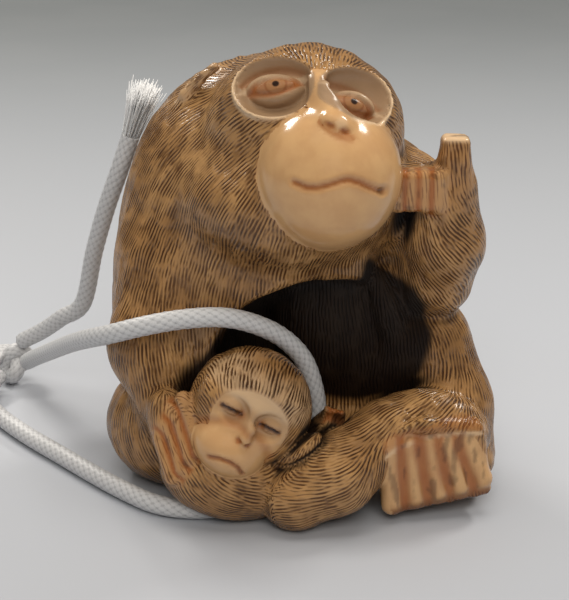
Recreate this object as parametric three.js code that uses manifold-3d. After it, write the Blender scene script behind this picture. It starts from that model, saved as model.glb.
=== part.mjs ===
// A carved netsuke: a seated monkey with her young in her lap, threaded on a looped and knotted cord.
// Millimetres, +Z up, the face looks along -Y. The origin is on the table, under the middle of the carving.
import * as THREE from "three";
import { mergeVertices } from "three/addons/utils/BufferGeometryUtils.js";
import Module from "manifold-3d";

const wasm = await Module();
wasm.setup();

// ---- Driving dimensions: [x, y, z] places, [a, b, c] half-axes, [about x, y, z] turns in degrees ----

const MIDDLE = [-0.3, -0.78, 0]; // the point of the table that lies under the middle of the carving

const HEART = [-1, 1, 25]; // the point inside the trunk that sees all of its surface
const TRUNK_FILLET = 3;
const TRUNK_REACH = [1, 0.8, 1.3]; // its rough proportions
const TRUNK = { at: [-2.5, 3.5, 17], half: [17.4, 13, 19.5] };
const BACK = { at: [-3.5, 4.2, 28], half: [14.5, 11.8, 15.4] };
const SHOULDER = { at: [9.5, 3.5, 26], half: [6.3, 8, 8] };
const CRANIUM = { at: [0.4, -2, 35.8], half: [9.6, 10, 9.9] };
const BROW = { at: [0.3, -4.2, 38.6], half: [9.2, 6.6, 6.9] };
const RUFF = { at: [-1.2, -3.8, 31.2], half: [10.6, 9.8, 7.2] };
const LAP = { at: [2.5, -9.5, 15], half: [11.2, 10.5, 8.8] }; // the hollow between the limbs
const ARMPIT = { at: [9, -9.5, 22.5], half: [3.2, 7.5, 5.5] };
const CHEST = { at: [3.5, -1, 17], half: [6.5, 3.2, 8] };
const BREAST = { at: [9.2, -2.6, 17.5], half: [2, 2.4, 6.5], turn: [0, -14, 0] };
const HIP = { at: [-13.2, -0.5, 5.6], half: [7.3, 9, 6.4] };

const MUZZLE = { at: [2.4, -10, 34.9], half: [6.9, 7.4, 7] };
const NOSE = { at: [3.1, -13.7, 40.8], half: [1.5, 1, 0.85], turn: [0, 22, 0] };
const NOSE_BRIDGE = { path: [[1.3, -9.4, 43.9], [2.7, -12.7, 41.4]], thick: [0.7, 0.9] };
const MOUTH_ACROSS = [-0.9, 1.2, 3.0, 4.3, 6.0, 7.6]; // x of the mouth line
const MOUTH_HEIGHT = [36.0, 35.9, 36.2, 36.4, 35.6, 34.9]; // z of the mouth line
const MOUTH_LINE = 0.6; // width of the carved line
const SOCKETS = [
  { at: [-2.7, -8.6, 43], turn: [46, 0, -8], eye: [0, 0.1, -1] },
  { at: [4.6, -9, 42], turn: [50, 0, 22], eye: [-0.4, -0.5, -1] },
];
const ORBIT = { at: [0, 0.2, -2.4], half: [4.7, 4.2, 3] }; // the pad that a socket is sunk in
const SOCKET_RIM = { half: [3.9, 3.3], thick: 0.25, sides: 4, steps: 16 }; // the raised rim
const SOCKET_BOWL = { at: [0, 0, 0.5], half: [3.8, 3.2, 2.1] };
const EYEBALL = [2.6, 1.5, 1.3];
const EAR = {
  path: [[-12.4, 1.2, 38.2], [-11.6, 0.4, 40.2], [-10.3, 0, 41.8], [-8.6, -0.6, 43.2]],
  thick: 1.1,
  sides: 5,
};

const LEFT_THIGH = { path: [[2, 2, 7], [13.1, -2.5, 15]], thick: [4, 4] };
const LEFT_SHIN = { path: [[13.5, -2, 15.3], [15.6, -4.5, 9], [16, -6, 4.2]], thick: [3.9, 3.8, 3.9] };
const LEFT_UPPER_ARM = { path: [[11, 1.5, 29], [13.2, -2, 21.8]], thick: [4.6, 3.6] };
const LEFT_FOREARM = {
  path: [[13.7, -3.4, 22.2], [14.2, -4.6, 26.5], [14, -5.6, 31]],
  thick: [3.4, 3.6, 3.1],
};
const FIST = { at: [11, -7, 32.9], half: [2.6, 2.2, 2.1], rounding: 0.7 };
const FINGER_ROOT = { path: [[14.6, -6.2, 33], [14.5, -6.8, 35.6]], thick: [2.2, 1.5] };
const UPRIGHT_FINGER = { at: [14.5, -6.7, 34.4], half: [1.4, 1.35, 3.5], rounding: 0.6, turn: [0, 2, 0] };
const CURLED_FINGERS = {
  roots: { first: [9.1, -8.35, 34.1], step: [1.25, 0, 0] },
  tips: { first: [9.1, -8.45, 31.6], step: [1.25, 0, 0] },
  thick: [0.8, 0.8],
  count: 4,
};

const RIGHT_ARM = { path: [[-13.4, -0.5, 23], [-15.2, -4.4, 15.5], [-14, -8.8, 10.3]], thick: [5.2, 4, 2.3] };
const RIGHT_HAND = { at: [-12.9, -11, 9.6], half: [2.3, 2.9, 3.8], turn: [0, -14, 0] };
const RIGHT_FINGERS = {
  roots: { first: [-11.6, -12.6, 13], step: [-0.75, -0.1, -1.3] },
  tips: { first: [-10.2, -14.3, 8.4], step: [-0.85, -0.1, -0.95] },
  thick: [0.9, 0.72],
  count: 4,
};

const YOUNG_BODY = { at: [-6.3, -10.5, 4.6], half: [8, 5.8, 5], turn: [0, 6, 10] };
const YOUNG_HEAD = { at: [-5.2, -11.2, 11.5], half: [6.1, 5.8, 6.2], turn: [0, 22, 0] };
const YOUNG_FACE = { at: [-5.9, -14.5, 10.8], turn: [0, 29, 0] }; // a frame: x across, y inwards, z up
const YOUNG_MUZZLE = { at: [-0.2, 0.2, -2.1], half: [3.75, 3.6, 3] };
const YOUNG_BROW = { at: [0.3, 0.7, 4.6], half: [4.2, 2.2, 1] };
const YOUNG_NOSE = { at: [0.3, -2.6, 0.7], half: [0.7, 0.9, 1.1] };
const YOUNG_SOCKET = { at: [2.1, -2.3, 2.1], half: [1.8, 1.5, 1.4] };
const YOUNG_EYE = { at: [2.1, -0.9, 2.1], half: [1.2, 0.8, 0.9] };
const YOUNG_EARS = [
  { at: [6, 0.6, 0.5], half: [0.9, 1.6, 2.7], turn: [0, 28, 0] },
  { at: [-4.6, 1.3, 1.2], half: [0.9, 1.6, 2], turn: [0, -10, 0] },
];
const YOUNG_MOUTH = [[-1.8, -2.4, -2.6], [0, -3, -2.3], [1.7, -2.5, -3]];
const YOUNG_MOUTH_LINE = 0.5;
const YOUNG_ARM = { path: [[-1, -9.6, 5], [2.7, -9.4, 9.3]], thick: [1.8, 1.3] };
const YOUNG_FINGERS = {
  roots: { first: [2, -9.6, 9.4], step: [0.8, 0, 0] },
  tips: { first: [2.5, -10.2, 10.9], step: [0.7, 0, -0.2] },
  thick: [0.55, 0.45],
  count: 3,
};

const SHIN = { path: [[-0.6, -14, 3.5], [3.6, -13.4, 5.4], [8.2, -10.6, 8.8]], thick: [3.6, 3.5, 3.2] };
const FOOT = { at: [12.4, -9, 8], half: [6.6, 4.2, 4.3], turn: [0, 4, 0] };
const INSTEP = { path: [[8.6, -12.4, 9.6], [12, -12.7, 10.3], [17, -11.3, 9.3]], thick: [0.8, 0.8, 0.8] };
const TOE_BLOCK = { at: [12.9, -10.9, 5.5], half: [5.4, 2.1, 4], rounding: 0.7, turn: [0, -9, 9.2] };
const TOES = {
  roots: { first: [8.5, -13, 8.4], step: [1.87, 0.35, 0] },
  tips: { first: [8.9, -13, 1.9], step: [2.25, 0.35, 0.55] },
  thick: [1, 1.1],
  count: 5,
};

const CORD = 1.9; // diameter
const CORD_SIDES = 8;
const CORD_HOLE = 2.9; // diameter of the hole and channel that the cord runs through
const KNOT = { at: [-34.3, 22.6, 2.75], half: [2.9, 2.7, 2.7] };
const LOOP_STEPS = 44;
const LOOP = [
  [-32.1, 20.4, 3.6], [-30.6, 16.6, 5.6], [-28.6, 12, 8], [-26.3, 6.6, 10.8], [-24, 1, 13.6],
  [-21.7, -4.5, 16.2], [-18.9, -8.6, 18.3], [-15.6, -10.7, 19.9], [-11.8, -11.2, 20.8], [-8, -11.1, 21],
  [-4.9, -10.1, 20], [-2.1, -8.6, 18], [0, -7.4, 15.3], [1.1, -6.8, 12.2], [1.5, -6.8, 9.2],
  [1, -7.2, 6], [-0.9, -8.3, 3.2], [-3.8, -10, 1.5], [-7.2, -11.7, 1.05], [-11, -12.5, 1.05],
  [-14.8, -11.3, 1.05], [-18.6, -7.9, 1.05], [-22.1, -4.1, 1.05], [-25.8, 0.2, 1.05], [-29.7, 4.7, 1.05],
  [-33.4, 9.6, 1.05], [-35.6, 13.4, 1.15], [-36.3, 16.8, 1.4], [-35.5, 19.8, 2],
];
const HOLE = { from: 13, to: 20, sides: 6, steps: 10 }; // it follows these points of the loop
const TAIL_STEPS = 10;
const TAIL = [
  [-32.8, 22, 5.6], [-30, 19.6, 7.8], [-27.3, 17, 10.4], [-24.5, 14.6, 13.1], [-22.6, 11.6, 20.3],
  [-20.8, 9.4, 26], [-19.1, 8, 30.6], [-17.8, 7.6, 34.3],
];
const BRUSH = { length: 5.8, wide: 1.9, root: 0.5 }; // the frayed end; wide is half the width of its tip

const IVORY = { color: 0xa9814f, roughness: 0.35, metalness: 0 };
const NYLON = { color: 0xdcdcda, roughness: 0.6, metalness: 0 };

const TINY = 1e-6;
const CLOSE = 1e-4; // a wrapped point ends this near the form
const STRIDE = 0.9; // share of the distance to the form that a point moves at a time
const [PLAIN, FINE, HEAD_DETAIL, MUZZLE_DETAIL, TRUNK_DETAIL] = [1, 2, 3, 4, 7]; // splits of a ball's faces
const [TIGHT, CRISP, NEAR, EASY, SOFT, FULL] = [0.3, 0.5, 1, 1.5, 2, 2.5]; // widths of the fillets in a limb
const LINE_SIDES = 4;
const FLOOR_CUT = 60; // side of the block that trims the underside flat

// ---- Forms: functions that give the distance from a point to a surface, below zero inside it ----

const vec = (p) => new THREE.Vector3(...p);

function turning(turn = [0, 0, 0]) {
  const [x, y, z] = turn.map(THREE.MathUtils.degToRad);
  return new THREE.Matrix4().makeRotationFromEuler(new THREE.Euler(x, y, z, "ZYX"));
}

function ellipsoid({ at, half: [a, b, c], turn }) {
  const middle = vec(at);
  const back = turning(turn).invert();
  return (p) => {
    const q = p.clone().sub(middle).applyMatrix4(back);
    const inside = Math.hypot(q.x / a, q.y / b, q.z / c) + TINY;
    const slope = Math.hypot(q.x / a ** 2, q.y / b ** 2, q.z / c ** 2) + TINY;
    return (inside * (inside - 1)) / slope;
  };
}

// A box with rounded edges.
function slab({ at, half, rounding, turn }) {
  const middle = vec(at);
  const back = turning(turn).invert();
  const core = vec(half).subScalar(rounding);
  return (p) => {
    const q = p.clone().sub(middle).applyMatrix4(back);
    const over = new THREE.Vector3(Math.abs(q.x), Math.abs(q.y), Math.abs(q.z)).sub(core);
    const within = Math.min(Math.max(...over), 0);
    return over.clampScalar(0, Infinity).length() + within - rounding;
  };
}

function taper(from, to, thickFrom, thickTo) {
  const start = vec(from);
  const along = vec(to).sub(start);
  return (p) => {
    const q = p.clone().sub(start);
    const share = THREE.MathUtils.clamp(q.dot(along) / along.lengthSq(), 0, 1);
    return q.addScaledVector(along, -share).length() - THREE.MathUtils.lerp(thickFrom, thickTo, share);
  };
}

// Forms run together, with a fillet about as wide as the blend.
function blend(width, forms) {
  return (p) => forms.reduce((a, form) => {
    const b = form(p);
    const near = Math.max(width - Math.abs(a - b), 0) / width;
    return Math.min(a, b) - (near * near * width) / 4;
  }, Infinity);
}

function limb({ path, thick }, width) {
  const pieces = path.slice(1).map((to, i) => taper(path[i], to, thick[i], thick[i + 1]));
  return blend(width, pieces);
}

// ---- Solids ----

function solid(geometry) {
  const bare = geometry.clone();
  bare.deleteAttribute("normal");
  bare.deleteAttribute("uv");
  const merged = mergeVertices(bare, CLOSE);
  const vertProperties = merged.attributes.position.array;
  const triVerts = new Uint32Array(merged.index.array);
  return new wasm.Manifold(new wasm.Mesh({ numProp: 3, vertProperties, triVerts }));
}

function geometryOf(made) {
  const mesh = made.getMesh();
  const geometry = new THREE.BufferGeometry();
  geometry.setAttribute("position", new THREE.BufferAttribute(mesh.vertProperties, 3));
  geometry.setIndex(new THREE.BufferAttribute(mesh.triVerts, 1));
  geometry.computeVertexNormals();
  return geometry;
}

// A ball whose points are drawn along rays onto a form that can be seen whole from its middle.
function wrap(form, at, detail, reach = [1, 1, 1], turn = undefined) {
  const ball = new THREE.IcosahedronGeometry(1, detail);
  ball.scale(...reach).applyMatrix4(turning(turn));
  const points = ball.attributes.position;
  const middle = vec(at);
  for (let i = 0; i < points.count; i++) {
    const ray = new THREE.Vector3().fromBufferAttribute(points, i).normalize();
    const p = middle.clone();
    for (let gap = form(p); gap < -CLOSE; gap = form(p)) p.addScaledVector(ray, -gap * STRIDE);
    points.setXYZ(i, ...p);
  }
  return solid(ball);
}

const wrapped = (shape, detail) => wrap(ellipsoid(shape), shape.at, detail, shape.half, shape.turn);
const wrappedSlab = (shape) => wrap(slab(shape), shape.at, FINE, shape.half, shape.turn);

// Halfway along a limb.
function waist(path) {
  const curve = new THREE.CurvePath();
  path.slice(1).forEach((to, i) => curve.add(new THREE.LineCurve3(vec(path[i]), vec(to))));
  return curve.getPointAt(0.5).toArray();
}

function wrapLimb(shape, width, detail) {
  const ends = new THREE.Vector3().subVectors(vec(shape.path.at(-1)), vec(shape.path[0]));
  const reach = ends.toArray().map((side) => Math.abs(side) / 2 + shape.thick[0]);
  return wrap(limb(shape, width), waist(shape.path), detail, reach);
}

const sum = (solids) => solids.reduce((a, b) => a.add(b));
const row = (count, make) => Array.from({ length: count }, (_, i) => make(i));
const shifted = (p, step) => p.map((side, i) => side + step[i]);

function roundShape(diameter, sides) {
  const turn = (2 * Math.PI) / sides;
  const middle = new THREE.Vector2();
  const corner = (i) => new THREE.Vector2(diameter / 2, 0).rotateAround(middle, i * turn);
  return new THREE.Shape(row(sides, corner));
}

function tube(points, diameter, sides, steps) {
  const extrudePath = new THREE.CatmullRomCurve3(points.map(vec));
  return new THREE.ExtrudeGeometry(roundShape(diameter, sides), { steps, extrudePath });
}

// A place given in a frame, as a place in the model.
const outOf = (frame) => (p) => vec(p).applyMatrix4(turning(frame.turn)).add(vec(frame.at)).toArray();

function inFrame(frame, geometry) {
  return geometry.clone().applyMatrix4(turning(frame.turn)).translate(...frame.at);
}

function bead(at, half, detail) {
  return new THREE.IcosahedronGeometry(1, detail).scale(...half).translate(...at);
}

// A carved ellipsoid of a part with a frame of its own.
function framed(frame, { at, half, turn }, detail) {
  const ball = new THREE.IcosahedronGeometry(1, detail).scale(...half).applyMatrix4(turning(turn));
  return solid(inFrame(frame, ball.translate(...at)));
}

// ---- The mother ----

function trunk() {
  const forms = [TRUNK, BACK, SHOULDER, CRANIUM, BROW, RUFF].map(ellipsoid);
  return wrap(blend(TRUNK_FILLET, forms), HEART, TRUNK_DETAIL, TRUNK_REACH)
    .subtract(wrapped(LAP, FINE))
    .subtract(wrapped(ARMPIT, PLAIN))
    .add(wrapped(CHEST, PLAIN))
    .add(wrapped(BREAST, PLAIN))
    .add(wrapped(HIP, FINE));
}

function socketRim(socket) {
  const { half: [wide, high], thick, sides, steps } = SOCKET_RIM;
  const ring = new THREE.TorusGeometry(wide, thick, sides, steps).scale(1, high / wide, 1);
  return solid(inFrame(socket, ring));
}

function onMuzzle(x, z) {
  const [a, b, c] = MUZZLE.half;
  const across = (x - MUZZLE.at[0]) / a;
  const up = (z - MUZZLE.at[2]) / c;
  return [x, MUZZLE.at[1] - b * Math.sqrt(1 - across ** 2 - up ** 2), z];
}

function mouthLine() {
  const points = MOUTH_ACROSS.map((x, i) => onMuzzle(x, MOUTH_HEIGHT[i]));
  return solid(tube(points, MOUTH_LINE, LINE_SIDES, MOUTH_ACROSS.length));
}

function withFace(body) {
  const orbits = SOCKETS.map((s) => framed(s, ORBIT, FINE));
  const bowls = SOCKETS.map((s) => framed(s, SOCKET_BOWL, PLAIN));
  const eyes = SOCKETS.map((s) => framed(s, { at: s.eye, half: EYEBALL }, PLAIN));
  return sum([body, ...orbits, wrapped(MUZZLE, MUZZLE_DETAIL), ...SOCKETS.map(socketRim)])
    .subtract(sum(bowls))
    .add(sum(eyes))
    .add(wrapLimb(NOSE_BRIDGE, TIGHT, PLAIN))
    .add(wrapped(NOSE, PLAIN))
    .subtract(mouthLine());
}

function ear() {
  return solid(tube(EAR.path, EAR.thick, EAR.sides, EAR.path.length));
}

const along = ({ first, step }, i) => shifted(first, step.map((side) => side * i));

// A row of fingers or toes.
function digits({ roots, tips, thick, count }) {
  const digit = (i) => wrapLimb({ path: [along(roots, i), along(tips, i)], thick }, TIGHT, PLAIN);
  return sum(row(count, digit));
}

function leftArm() {
  return sum([
    wrapLimb(LEFT_UPPER_ARM, NEAR, PLAIN),
    wrapLimb(LEFT_FOREARM, EASY, FINE),
    wrappedSlab(FIST),
    wrapLimb(FINGER_ROOT, TIGHT, PLAIN),
    wrappedSlab(UPRIGHT_FINGER),
    digits(CURLED_FINGERS),
  ]);
}

function rightArm() {
  return sum([wrapLimb(RIGHT_ARM, FULL, FINE), wrapped(RIGHT_HAND, FINE), digits(RIGHT_FINGERS)]);
}

const leftLeg = () => wrapLimb(LEFT_THIGH, NEAR, PLAIN).add(wrapLimb(LEFT_SHIN, EASY, FINE));

function foot() {
  const arch = [wrapLimb(SHIN, SOFT, FINE), wrapped(FOOT, FINE), wrapLimb(INSTEP, CRISP, PLAIN)];
  return sum([...arch, wrappedSlab(TOE_BLOCK), digits(TOES)]);
}

// ---- The young ----

const mirrored = ({ at: [x, y, z], half }, side) => ({ at: [side * x, y, z], half });

function young() {
  const sides = [-1, 1];
  const carve = (shape, detail) => framed(YOUNG_FACE, shape, detail);
  const lips = YOUNG_MOUTH.map(outOf(YOUNG_FACE));
  const mouth = solid(tube(lips, YOUNG_MOUTH_LINE, LINE_SIDES, lips.length));
  const body = wrapped(YOUNG_BODY, FINE).add(wrapped(YOUNG_HEAD, HEAD_DETAIL));
  return sum([body, carve(YOUNG_MUZZLE, FINE), carve(YOUNG_BROW, PLAIN)])
    .subtract(sum(sides.map((side) => carve(mirrored(YOUNG_SOCKET, side), PLAIN))))
    .add(sum(sides.map((side) => carve(mirrored(YOUNG_EYE, side), PLAIN))))
    .add(carve(YOUNG_NOSE, PLAIN))
    .add(sum(YOUNG_EARS.map((shape) => carve(shape, PLAIN))))
    .subtract(mouth)
    .add(wrapLimb(YOUNG_ARM, CRISP, PLAIN))
    .add(digits(YOUNG_FINGERS));
}

// ---- The whole carving ----

function cordHole() {
  return solid(tube(LOOP.slice(HOLE.from, HOLE.to + 1), CORD_HOLE, HOLE.sides, HOLE.steps));
}

function carving() {
  const under = new THREE.BoxGeometry(FLOOR_CUT, FLOOR_CUT, FLOOR_CUT).translate(0, 0, -FLOOR_CUT / 2);
  const whole = sum([withFace(trunk()), ear(), leftArm(), leftLeg(), rightArm(), young(), foot()]);
  return geometryOf(whole.subtract(cordHole()).subtract(solid(under)));
}

// ---- The cord ----

function cordTail() {
  const way = new THREE.CatmullRomCurve3(TAIL.map(vec));
  const { length, wide, root } = BRUSH;
  const profile = [[0, -root], [CORD / 2, -root], [CORD / 2, 0], [wide, length], [0, length]];
  const brush = new THREE.LatheGeometry(profile.map(([r, h]) => new THREE.Vector2(r, h)), CORD_SIDES);
  const facing = new THREE.Quaternion().setFromUnitVectors(new THREE.Vector3(0, 1, 0), way.getTangent(1));
  brush.applyQuaternion(facing).translate(...TAIL.at(-1));
  return geometryOf(solid(tube(TAIL, CORD, CORD_SIDES, TAIL_STEPS)).add(solid(brush)));
}

function piece(name, geometry, look) {
  const mesh = new THREE.Mesh(geometry, new THREE.MeshStandardMaterial(look));
  mesh.name = name;
  return mesh;
}

const group = new THREE.Group();
group.add(
  piece("carving", carving(), IVORY),
  piece("cord_loop", tube(LOOP, CORD, CORD_SIDES, LOOP_STEPS), NYLON),
  piece("cord_knot", bead(KNOT.at, KNOT.half, FINE), NYLON),
  piece("cord_tail", cordTail(), NYLON),
);
group.position.set(...MIDDLE).negate();

export default group;
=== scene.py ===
# The looks of a carved netsuke: a seated monkey with her young, threaded on a looped and knotted cord.
import math

import bpy
import numpy as np
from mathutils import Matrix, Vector


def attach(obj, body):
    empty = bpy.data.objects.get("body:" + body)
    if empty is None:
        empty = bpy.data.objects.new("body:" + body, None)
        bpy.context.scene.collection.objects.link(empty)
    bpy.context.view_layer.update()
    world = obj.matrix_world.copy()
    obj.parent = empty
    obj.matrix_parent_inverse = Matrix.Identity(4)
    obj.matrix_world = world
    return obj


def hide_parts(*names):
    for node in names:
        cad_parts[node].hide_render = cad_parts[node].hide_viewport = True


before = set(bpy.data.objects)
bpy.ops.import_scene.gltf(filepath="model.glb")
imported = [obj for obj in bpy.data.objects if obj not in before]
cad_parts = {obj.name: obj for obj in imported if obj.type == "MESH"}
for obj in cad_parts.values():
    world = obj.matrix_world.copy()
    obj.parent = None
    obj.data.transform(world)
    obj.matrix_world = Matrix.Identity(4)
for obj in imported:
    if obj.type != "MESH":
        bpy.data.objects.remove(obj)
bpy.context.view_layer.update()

MM = 0.001
MIDDLE = np.array([-0.3, -0.78, 0.0])  # the forms' own origin, seen from the middle of the carving
RNG = np.random.default_rng(7)


def row(points):
    """Points in the forms' millimetres, as points of the row frame in metres."""
    return (np.asarray(points, float) - MIDDLE) * MM


# ---- Camera ----

camera = bpy.data.objects.new("camera", bpy.data.cameras.new("camera"))
bpy.context.scene.collection.objects.link(camera)
camera.location = (-0.00147, -0.15922, 0.07697)
camera.rotation_euler = (math.radians(70), 0, 0)
camera.data.lens = 98.88
camera.data.sensor_width = 36
camera.data.clip_start = 0.01
camera.data.clip_end = 20
bpy.context.scene.camera = camera


# ---- Making meshes and materials ----


def mesh_object(name, vertices, faces, attributes=None):
    """faces is an array of triangles or quads; vertices are in the forms' millimetres."""
    mesh = bpy.data.meshes.new(name)
    faces = np.asarray(faces, np.int32)
    mesh.vertices.add(len(vertices))
    mesh.vertices.foreach_set("co", row(vertices).astype(np.float32).ravel())
    mesh.loops.add(faces.size)
    mesh.loops.foreach_set("vertex_index", faces.ravel())
    mesh.polygons.add(len(faces))
    mesh.polygons.foreach_set("loop_start", np.arange(0, faces.size, faces.shape[1], dtype=np.int32))
    mesh.polygons.foreach_set("use_smooth", np.ones(len(faces), bool))
    for key, values in (attributes or {}).items():
        kind = "FLOAT_VECTOR" if values.ndim == 2 else "FLOAT"
        layer = mesh.attributes.new(key, kind, "POINT")
        field = "vector" if values.ndim == 2 else "value"
        layer.data.foreach_set(field, values.astype(np.float32).ravel())
    mesh.update(calc_edges=True)
    mesh.validate()
    made = bpy.data.objects.new(name, mesh)
    bpy.context.scene.collection.objects.link(made)
    return made


class Nodes:
    """A small helper that adds nodes to a material and joins them."""

    def __init__(self, name):
        self.material = bpy.data.materials.new(name)
        self.material.use_nodes = True
        self.tree = self.material.node_tree
        self.shader = self.tree.nodes["Principled BSDF"]

    def add(self, kind, inputs=None, **settings):
        node = self.tree.nodes.new(kind)
        for key, value in settings.items():
            setattr(node, key, value)
        for key, value in (inputs or {}).items():
            self.put(node.inputs[key], value)
        return node

    def put(self, socket, value):
        if isinstance(value, bpy.types.NodeSocket):
            self.tree.links.new(value, socket)
        else:
            socket.default_value = value

    def math(self, operation, a, b=0.0, clamp=False):
        return self.add("ShaderNodeMath", {0: a, 1: b}, operation=operation, use_clamp=clamp).outputs[0]

    def vector(self, operation, a, b):
        return self.add("ShaderNodeVectorMath", {0: a, 1: b}, operation=operation).outputs[0]

    def attribute(self, name, vector=False):
        node = self.add("ShaderNodeAttribute", attribute_name=name)
        return node.outputs["Vector" if vector else "Fac"]

    def noise(self, scale, detail=2.0, at=None):
        if at is None:
            at = self.add("ShaderNodeTexCoord").outputs["Object"]
        return self.add("ShaderNodeTexNoise", {"Scale": scale, "Detail": detail, "Vector": at}).outputs["Fac"]

    def ramp(self, fac, low, high, to_low=0.0, to_high=1.0):
        inputs = {"Value": fac, "From Min": low, "From Max": high, "To Min": to_low, "To Max": to_high}
        return self.add("ShaderNodeMapRange", inputs, interpolation_type="SMOOTHSTEP").outputs["Result"]

    def mix(self, fac, a, b):
        node = self.add("ShaderNodeMix", data_type="RGBA")
        colours = [s for s in node.inputs if s.type == "RGBA"]
        self.put(node.inputs[0], fac)
        self.put(colours[0], a)
        self.put(colours[1], b)
        return [s for s in node.outputs if s.type == "RGBA"][0]

    def bump(self, height, strength, distance):
        inputs = {"Height": height, "Strength": strength, "Distance": distance}
        return self.add("ShaderNodeBump", inputs).outputs["Normal"]

    def surface(self, **inputs):
        for key, value in inputs.items():
            self.put(self.shader.inputs[key.replace("_", " ")], value)
        return self.material


# ---- The cord ----

CORD = 1.9  # diameter
CORD_SIDES = 40
CORD_STEP = 0.13
KNOT = np.array([-34.3, 22.6, 2.75])
KNOT_SCALE = 0.6
KNOT_TILT = 62  # degrees
LOOP = np.array([
    [-32.1, 20.4, 3.6], [-30.6, 16.6, 5.6], [-28.6, 12, 8], [-26.3, 6.6, 10.8], [-24, 1, 13.6],
    [-21.7, -4.5, 16.2], [-18.9, -8.6, 18.3], [-15.6, -10.7, 19.9], [-11.8, -11.2, 20.8], [-8, -11.1, 21],
    [-4.9, -10.1, 20], [-2.1, -8.6, 18], [0, -7.4, 15.3], [1.1, -6.8, 12.2], [1.5, -6.8, 9.2],
    [1, -7.2, 6], [-0.9, -8.3, 3.2], [-3.8, -10, 1.5], [-7.2, -11.7, 1.05], [-11, -12.5, 1.05],
    [-14.8, -11.3, 1.05], [-18.6, -7.9, 1.05], [-22.1, -4.1, 1.05], [-25.8, 0.2, 1.05], [-29.7, 4.7, 1.05],
    [-33.4, 9.6, 1.05], [-35.6, 13.4, 1.15], [-36.3, 16.8, 1.4], [-35.5, 19.8, 2],
])
HOLE = slice(13, 21)  # the points of the loop that lie in the carving
TAIL = np.array([
    [-32.8, 22, 5.6], [-30, 19.6, 7.8], [-27.3, 17, 10.4], [-24.5, 14.6, 13.1], [-22.6, 11.6, 20.3],
    [-20.8, 9.4, 26], [-19.1, 8, 30.6], [-17.8, 7.6, 34.3],
])
BRUSH = 7  # length of the frayed end's longest fibres
FIBRE = 0.075  # half the thickness of a fibre at its root
CARRIERS = 8  # strands that wind each way in the braid
BRAID_PITCH = 1.05  # along the cord, between one strand and the next
BRAID_RELIEF = 0.1  # height of a strand, as a share of the cord's radius


def smooth_path(points, step):
    """A curve through the points, at even steps along its length."""
    padded = np.vstack([2 * points[0] - points[1], points, 2 * points[-1] - points[-2]])
    t = np.linspace(0, 1, 24, endpoint=False)[:, None]
    pieces = []
    for a, b, c, d in zip(padded, padded[1:], padded[2:], padded[3:]):
        bend, twist = 2 * a - 5 * b + 4 * c - d, 3 * b - a - 3 * c + d
        pieces.append(0.5 * (2 * b + (c - a) * t + bend * t**2 + twist * t**3))
    dense = np.vstack(pieces + [points[-1:]])
    length = np.concatenate([[0], np.cumsum(np.linalg.norm(np.diff(dense, axis=0), axis=1))])
    wanted = np.linspace(0, length[-1], max(2, int(length[-1] / step)) + 1)
    return np.stack([np.interp(wanted, length, dense[:, i]) for i in range(3)], 1)


def carried_frame(path):
    """Two directions across the path, carried along it without twist."""
    along = np.gradient(path, axis=0)
    along /= np.linalg.norm(along, axis=1)[:, None]
    side = np.cross(along[0], [0.3, 0.2, 0.9])
    sides = []
    for direction in along:
        side = side - direction * (side @ direction)
        side = side / np.linalg.norm(side)
        sides.append(side)
    sides = np.array(sides)
    return sides, np.cross(along, sides)


def braid_height(angle, distance):
    """Height of the braid's surface, from 0 in the gaps to 1 on top of a strand."""
    turns = angle * CARRIERS / (2 * math.pi)
    a, b = turns + distance / BRAID_PITCH, turns - distance / BRAID_PITCH
    fa, fb = a - np.floor(a) - 0.5, b - np.floor(b) - 0.5
    over = (np.floor(a) + np.floor(b)) % 2 < 1
    lift = np.cos(math.pi * np.where(over, fb, fa))
    across = np.where(over, fa, fb)
    return np.sqrt(np.clip(1 - (1.9 * across) ** 2, 0, 1)) * (0.55 + 0.45 * lift)


def rope(name, path, radius, narrowing=0):
    """A braided tube along the path, closed at both ends, which may narrow over their last millimetres."""
    sides = CORD_SIDES
    across, up = carried_frame(path)
    angle = np.linspace(0, 2 * math.pi, sides, endpoint=False)
    distance = np.arange(len(path)) * np.linalg.norm(path[1] - path[0])
    grid_angle, grid_distance = np.meshgrid(angle, distance)
    height = braid_height(grid_angle, grid_distance)
    reach = radius * (1 + BRAID_RELIEF * (height - 0.6))
    if narrowing:
        ends = np.minimum(distance, distance[-1] - distance)
        reach *= np.sqrt(np.clip(ends / narrowing, 0.02, 1))[:, None]
    rim = across[:, None] * np.cos(angle)[None, :, None] + up[:, None] * np.sin(angle)[None, :, None]
    points = path[:, None] + rim * reach[..., None]
    i, j = np.meshgrid(np.arange(len(path) - 1), np.arange(sides), indexing="ij")
    k = (j + 1) % sides
    near, far = i * sides, (i + 1) * sides
    quads = np.stack([near + j, near + k, far + k, far + j], -1).reshape(-1, 4)
    triangles = np.concatenate([quads[:, [0, 1, 2]], quads[:, [0, 2, 3]]])
    first, last = len(path) * sides, len(path) * sides + 1
    edge = np.arange(sides)
    end = (len(path) - 1) * sides
    cap_a = np.stack([np.full(sides, first), (edge + 1) % sides, edge], 1)
    cap_b = np.stack([np.full(sides, last), end + edge, end + (edge + 1) % sides], 1)
    vertices = np.vstack([points.reshape(-1, 3), path[:1], path[-1:]])
    # The braid's height, which the cord's material turns into painted shade in the gaps.
    shade = np.concatenate([height.ravel(), [0.5, 0.5]])
    return mesh_object(name, vertices, np.concatenate([triangles, cap_a, cap_b]), {"braid_shade": shade})


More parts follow.
